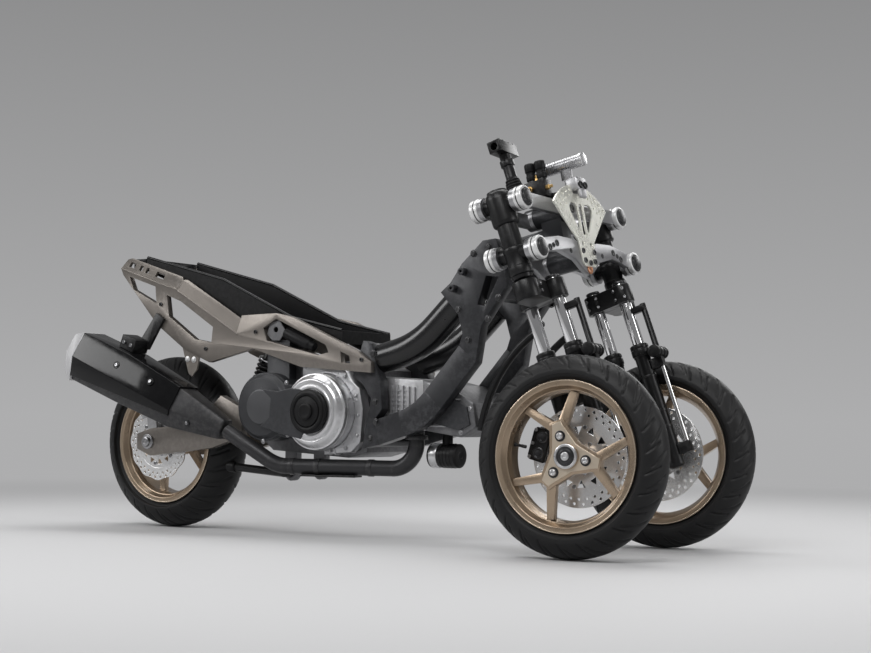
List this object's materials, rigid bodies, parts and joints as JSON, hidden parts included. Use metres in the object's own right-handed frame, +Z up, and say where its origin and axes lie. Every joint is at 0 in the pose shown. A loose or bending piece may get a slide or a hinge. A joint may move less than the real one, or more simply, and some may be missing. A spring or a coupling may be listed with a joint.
{
  "type": "reverse trike chassis",
  "caption": "Bare rolling chassis of a leaning three-wheeled scooter: steered front forks on a parallelogram linkage, tube frame, engine and rear wheel.",
  "frame": {"origin": "on the ground under the middle of the length, in the centre plane", "axes": "+X forward, +Y to the left side, +Z up"},
  "size_m": [2.2599, 0.7155, 1.2005],
  "materials": {
    "tyre": "matt",
    "wheel_bronze": "satin bronze",
    "disc_steel": "polished",
    "black_metal": "satin black",
    "chrome": "polished",
    "silver_arm": "satin",
    "dark_steel": "dark",
    "frame_grey": "satin dark grey",
    "gloss_black": "gloss black",
    "titanium": "satin warm grey",
    "black_plastic": "matt",
    "engine_alloy": "cast",
    "cover_dark": "satin dark grey",
    "cover_silver": "satin silver"
  },
  "bodies": {
    "chassis": {"upper_arms": "silver_arm", "lower_arms": "silver_arm", "pivot_pins": "dark_steel", "side_heads": "black_metal", "lock_disc": "disc_steel", "lock_caliper": "dark_steel", "head_frame": "frame_grey", "bodywork_bosses": "frame_grey", "main_tubes": "gloss_black", "lower_beams": "frame_grey", "pivot_plates": "frame_grey", "tail_rail_right": "titanium", "tail_rail_left": "titanium", "tail_bridge": "titanium", "seat_tray": "black_plastic", "engine_case": "engine_alloy", "drive_cover": "cover_dark", "clutch_case": "cover_silver", "clutch_cover": "cover_silver", "clutch_hub": "black_metal", "cylinders": "engine_alloy", "cylinder_head": "cover_dark", "oil_filter": "black_metal", "guard_stays": "black_metal", "exhaust_pipe": "black_metal", "muffler_body": "cover_dark", "muffler_cover": "gloss_black", "muffler_cap": "cover_silver", "muffler_hanger": "black_metal", "swingarm": "titanium", "rear_shock": "black_metal", "rear_caliper": "silver_arm", "hydraulic_unit": "black_metal", "lock_cylinder": "silver_arm"},
    "steering_column": {"steering_stem": "black_metal"},
    "fork_right": {"fork_crown_right": "black_metal", "fork_tubes_right": "chrome", "fork_lower_right": "black_metal", "caliper_front_right": "black_metal", "fork_lock_right": "black_metal"},
    "fork_left": {"fork_crown_left": "black_metal", "fork_tubes_left": "chrome", "fork_lower_left": "black_metal", "caliper_front_left": "black_metal", "fork_lock_left": "black_metal"},
    "wheel_right": {"tyre_front_right": "tyre", "rim_front_right": "wheel_bronze", "disc_front_right": "disc_steel"},
    "wheel_left": {"tyre_front_left": "tyre", "rim_front_left": "wheel_bronze", "disc_front_left": "disc_steel"},
    "wheel_rear": {"tyre_rear": "tyre", "rim_rear": "wheel_bronze", "disc_rear": "disc_steel"},
    "stand": {"centre_stand": "black_metal"}
  },
  "joints": [
    {"name": "steer", "type": "hinge", "parent": "chassis", "child": "steering_column", "pos_m": [0.5076, 0, 1.032], "axis": [-0.342, 0, 0.9397], "range_deg": [-40.8, 29.2]},
    {"name": "steer_right", "type": "hinge", "parent": "chassis", "child": "fork_right", "pos_m": [0.8746, -0.275, 0.2745], "axis": [-0.342, 0, 0.9397], "range_deg": [-40.8, 29.2]},
    {"name": "steer_left", "type": "hinge", "parent": "chassis", "child": "fork_left", "pos_m": [0.8746, 0.275, 0.2745], "axis": [-0.342, 0, 0.9397], "range_deg": [-40.8, 29.2]},
    {"name": "wheel_right_spin", "type": "hinge", "parent": "fork_right", "child": "wheel_right", "pos_m": [0.85668, -0.27671, 0.27453], "axis": [-0.095, 0.9949, -0.0346], "continuous": true},
    {"name": "wheel_left_spin", "type": "hinge", "parent": "fork_left", "child": "wheel_left", "pos_m": [0.85668, 0.27329, 0.27453], "axis": [-0.095, 0.9949, -0.0346], "continuous": true},
    {"name": "wheel_rear_spin", "type": "hinge", "parent": "chassis", "child": "wheel_rear", "pos_m": [-0.8434, 0, 0.2865], "axis": [0, 1, 0], "continuous": true},
    {"name": "stand_fold", "type": "hinge", "parent": "chassis", "child": "stand", "pos_m": [-0.2734, 0, 0.196], "axis": [0, -1, 0], "range_deg": [0, 98]}
  ],
  "couplings": [
    {"joint": "steer_right", "follows": "steer", "ratio": 1},
    {"joint": "steer_left", "follows": "steer", "ratio": 1}
  ]
}
